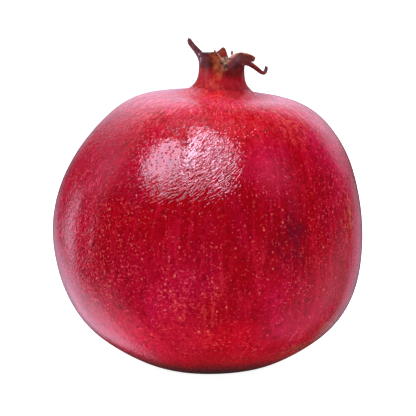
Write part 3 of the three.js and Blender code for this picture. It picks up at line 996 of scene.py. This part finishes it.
def lobes(p, colour):
    """Maroon lobes with brown tips and a tan stretch, orange inside at the back, with paler edges."""
    outside = p.mix(p.within(p.flecks, 0.4, 0.6, end=0.6), LOBE_MAROON, LOBE_RED)
    tips = p.within(p.add(p.rise, p.times(p.flecks, 0.5)), 1.5, 1.9, end=0.6)
    outside = p.mix(tips, outside, LOBE_BROWN)
    tan = p.times(p.within(p.across, -24, -12), p.within(p.across, 5, -3))
    tan = p.times(tan, p.within(p.flecks, 0.3, 0.6))
    outside = p.mix(p.times(tan, 0.9), outside, LOBE_TAN)
    dark = p.add(p.times(p.patches("maroon", 0.5), 0.4), p.times(p.flecks, 0.5))
    colour = p.mix(p.within(p.add(p.rise, dark), 1.2, 1.7), colour, outside)

    hollow = p.mix(p.within(p.rise, 1.1, 1.5), INSIDE_BROWN, INSIDE_PLUM)
    hollow = p.mix(p.within(p.depth, 26, 46), hollow, INSIDE_ORANGE)
    colour = p.mix(p.times(p.inside, 0.9), colour, hollow)

    edge = p.mix(p.within(p.across, -20, 10), EDGE_PLUM, EDGE_TAN)
    edge = p.mix(p.within(p.across, 24, 40), edge, EDGE_MAROON)
    edge = p.mix(p.within(p.flecks, 0.42, 0.58), EDGE_DARK, edge)
    return p.mix(p.times(p.rim, 0.9), colour, edge)


# Relief finer than the mesh, in metres.
WRINKLE_HEIGHT = 0.00023
PEBBLE_HEIGHT = 0.00006
PORE_DEPTH = 0.00009
CREASE_DEPTH = 0.00105
# The crease is round the neck's foot, this far up the skin, and reaches so many millimetres each way.
CREASE_CLIMB = 142.5
CREASE_REACH = 3.0
# The wrinkles slant by this many radians in each millimetre up the skin.
WRINKLE_SLANT = -0.02


def rind_relief(p):
    """A crease round the neck's foot, slanting wrinkles, a pebbled grain and pores."""
    calm = p.patches("calm", 0.5)
    sleek = p.patches("sleek", 0.4)
    wander = p.times(p.noise(p.skin, 0.1, detail=1.0), 3.0)
    crease = p.math("SUBTRACT", p.add(p.climb, wander), CREASE_CLIMB)
    crease = p.within(p.math("ABSOLUTE", crease), CREASE_REACH, 0.0, kind="LINEAR")
    bump = p.bump(p.times(crease, crease), -CREASE_DEPTH)

    slant = dict(Vector=p.skin, Angle=p.times(p.climb, WRINKLE_SLANT))
    slanting = p.node("ShaderNodeVectorRotate", dict(rotation_type="Z_AXIS"), **slant).outputs[0]
    wrinkle = p.noise(p.scaled(slanting, (1, 1, 0.6)), 1.15, detail=0.5, rough=0.4, bend=0.8)
    coarse = p.times(p.patches("coarse", 0.5), 1.2)
    coarse = p.add(p.within(p.broad, 0.42, 0.62, 0.25, 0.6), coarse)
    quiet = p.math("MAXIMUM", sleek, p.times(calm, 0.5))
    coarse = p.times(coarse, p.add(1.0, p.times(quiet, -0.8)))
    coarse = p.add(coarse, p.within(p.climb, 130, 140, end=1.2))
    bump = p.bump(p.times(wrinkle, coarse), WRINKLE_HEIGHT, bump)

    bump = p.bump(p.noise(p.grid, 0.95, detail=0.0, bend=0.8), PEBBLE_HEIGHT, bump)
    pores = p.times(p.within(p.cells(p.grid, 1.1)[0], 0.06, 0.34), p.add(1.0, p.times(calm, -0.8)))
    pores = p.times(pores, p.add(0.5, p.times(sleek, 1.3)))
    return p.bump(pores, PORE_DEPTH, bump)


def rind_roughness(p):
    """Waxy on the body and drier up the neck and the lobes."""
    dry = p.within(p.climb, 130, 140, end=0.1)
    waxy = p.within(p.middle, 0.3, 0.7, 0.045, 0.09)
    return p.add(p.add(waxy, dry), p.within(p.rise, 0.8, 1.2, end=0.15))


def rind_material():
    p = RindPaint()
    colour = pigment(p)
    for layer in (shoulder, yellow_ground, speckle, blemishes, neck, lobes):
        colour = layer(p, colour)
    sockets = dict(Base_Color=colour, Roughness=rind_roughness(p), Normal=rind_relief(p))
    return p.finish(IOR=1.45, **sockets)


def stamen_material():
    p = Paint("pomegranate_dry_stamens")
    anther, shade, along = p.split(p.attribute("tone"))
    colour = p.mix(p.within(along, 0.0, 1.0), FILAMENT_BROWN, FILAMENT_STRAW)
    colour = p.mix(p.within(shade, 0.2, 1.0, end=0.6), colour, FILAMENT_DARK)
    colour = p.mix(p.times(anther, 0.85), colour, ANTHER_BROWN)
    grain = p.noise(p.attribute("skin"), 3.0, detail=3.0, rough=0.7)
    colour = p.mix(p.within(grain, 0.4, 0.7, end=0.5), colour, DUST)
    return p.finish(Base_Color=colour, Roughness=0.85, Normal=p.bump(grain, 0.00008))


def stalk_material():
    p = Paint("pomegranate_stalk_wood")
    fibres = p.scaled(p.attribute("skin"), (1, 1, 0.3))
    grain = p.noise(fibres, 2.2, detail=5.0, rough=0.65, bend=0.8)
    colour = p.mix(p.within(grain, 0.35, 0.7), WOOD_DARK, WOOD_LIGHT)
    return p.finish(Base_Color=colour, Roughness=0.85, Normal=p.bump(grain, 0.00025))


# ---- the pieces ----
for piece, node, slot, material in (
    (make_rind(), "rind", "rind", rind_material()),
    (make_stamens(), "stamens", "stamens", stamen_material()),
    (make_stalk(), "stalk_stub", "stalk", stalk_material()),
):
    piece.data.materials.append(material)
    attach(piece, "root")
    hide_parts(node)


# ---- camera ----
CAMERA_ELEVATION = 10
CAMERA_DISTANCE = 0.85
CAMERA_AIM = Vector((0, 0, 0.0518))
# The fruit is FRUIT_SPAN wide, and that fills FRUIT_SHARE of the picture's width.
FRUIT_SPAN = 0.1
FRUIT_SHARE = 311.5 / 416
SENSOR = 36

camera = bpy.data.objects.new("camera", bpy.data.cameras.new("camera"))
bpy.context.scene.collection.objects.link(camera)
bpy.context.scene.camera = camera
tilt = math.radians(CAMERA_ELEVATION)
camera.location = CAMERA_AIM + CAMERA_DISTANCE * Vector((0, -math.cos(tilt), math.sin(tilt)))
camera.rotation_euler = (CAMERA_AIM - camera.location).to_track_quat("-Z", "Y").to_euler()
camera.data.sensor_width = SENSOR
camera.data.lens = SENSOR * FRUIT_SHARE * CAMERA_DISTANCE / FRUIT_SPAN

# ---- floor ----
FLOOR_HALF = 4
FLOOR_GREY = (0.85, 0.85, 0.85)
FLOOR_GLOW = 0.46
FLOOR_GLOW_SEEN = 0.5

floor_mesh = bpy.data.meshes.new("floor")
corners = [(x * FLOOR_HALF, y * FLOOR_HALF, 0) for x, y in ((-1, -1), (1, -1), (1, 1), (-1, 1))]
floor_mesh.from_pydata(corners, [], [(0, 1, 2, 3)])
floor = bpy.data.objects.new("floor", floor_mesh)
bpy.context.scene.collection.objects.link(floor)
floor.visible_glossy = False
paper = Paint("floor_paper")
paper.finish(Base_Color=FLOOR_GREY, Roughness=0.9, Specular_IOR_Level=0.0, Emission_Color=(1, 1, 1))
seen = paper.node("ShaderNodeLightPath").outputs["Is Camera Ray"]
glow = paper.add(paper.times(seen, FLOOR_GLOW_SEEN), FLOOR_GLOW)
floor_mesh.materials.append(paper.finish(Emission_Strength=glow))


# ---- light ----
LAVENDER = (0.8, 0.73, 1)
WHITE = (1, 1, 1)


def softbox(name, place, size, power, gloss=True, shape="RECTANGLE", tint=WHITE, turn=0):
    """A level panel that shines straight down. With gloss it is only mirrored; without, it only lights."""
    data = bpy.data.lights.new(name, "AREA")
    data.shape = shape
    data.size, data.size_y = size
    data.energy = power
    data.color = tint
    light = bpy.data.objects.new(name, data)
    bpy.context.scene.collection.objects.link(light)
    light.location = place
    light.rotation_euler.z = math.radians(turn)
    light.visible_glossy = gloss
    light.visible_diffuse = not gloss
    light.visible_camera = False


shine = dict(shape="ELLIPSE", tint=LAVENDER)
softbox("overhead", (0, -0.09, 0.95), (1.0, 1.0), 14, gloss=False)
softbox("round_shine", (-0.48, -0.375, 0.8), (0.63, 0.63), 11.6, **shine)
softbox("long_shine", (-0.035, -0.37, 0.8), (0.24, 0.6), 10.3, turn=-12, **shine)

# The soft glows of the studio that the skin mirrors, each [azimuth, elevation, full within so many
# degrees, gone beyond so many, strength, tint].
PALE_VIOLET = (0.8, 0.75, 1)
ROSE_GLOW = (1, 0.65, 0.95)
GLOWS = [
    [-158, 32, 8, 23, 1.15, PALE_VIOLET],
    [176, 20, 12, 28, 0.55, PALE_VIOLET],
    [149, 13, 6, 16, 0.7, PALE_VIOLET],
    [153, -16, 6, 18, 0.55, PALE_VIOLET],
    [-138, -33, 10, 24, 1.35, PALE_VIOLET],
    [-102, -42, 8, 24, 0.6, PALE_VIOLET],
    [-124, 4, 4, 9, 2.0, PALE_VIOLET],
    [-127, -8, 4, 11, 2.1, PALE_VIOLET],
    [-174, 8, 6, 17, 0.7, PALE_VIOLET],
    [-116, 36, 5, 16, 0.6, PALE_VIOLET],
    [165, 8, 5, 14, 0.4, PALE_VIOLET],
    [-157, -15, 5, 16, 0.65, PALE_VIOLET],
    [-146, 78, 9, 22, 0.8, PALE_VIOLET],
    [92, -40, 10, 34, 0.45, PALE_VIOLET],
    [116, -18, 6, 18, 0.4, PALE_VIOLET],
    [-113, 21, 4, 13, 0.45, PALE_VIOLET],
    [58, 40, 5, 17, 0.6, ROSE_GLOW],
]
DARK_STUDIO = 0.04
FILL = 0.36
WHITE_BACKDROP = 1.0

world = bpy.data.worlds.new("studio")
bpy.context.scene.world = world
world.use_nodes = True
world.node_tree.nodes.clear()
studio = Nodes(world.node_tree)
ray = studio.node("ShaderNodeLightPath").outputs
looking = studio.node("ShaderNodeTexCoord").outputs["Generated"]


def background(strength, tint=WHITE):
    return studio.node("ShaderNodeBackground", Color=tint, Strength=strength).outputs[0]


def glow_towards(azimuth, elevation, full, gone, strength, tint):
    """A round glow in the sky, which fades from full to gone degrees away from its middle."""
    side, up = math.radians(azimuth), math.radians(elevation)
    towards = (math.sin(side) * math.cos(up), -math.cos(side) * math.cos(up), math.sin(up))
    aligned = studio.measure("DOT_PRODUCT", looking, towards)
    limits = [math.cos(math.radians(angle)) for angle in (gone, full)]
    return background(studio.within(aligned, *limits, end=strength), tint)


def choose(share, first, second):
    return studio.ordered("ShaderNodeMixShader", share, first, second).outputs[0]


mirrored = background(DARK_STUDIO)
for glow_row in GLOWS:
    mirrored = studio.ordered("ShaderNodeAddShader", mirrored, glow_towards(*glow_row)).outputs[0]
unseen = choose(ray["Is Glossy Ray"], background(FILL), mirrored)
sky = choose(ray["Is Camera Ray"], unseen, background(WHITE_BACKDROP))
studio.node("ShaderNodeOutputWorld", Surface=sky)

bpy.context.scene.view_settings.view_transform = "Standard"
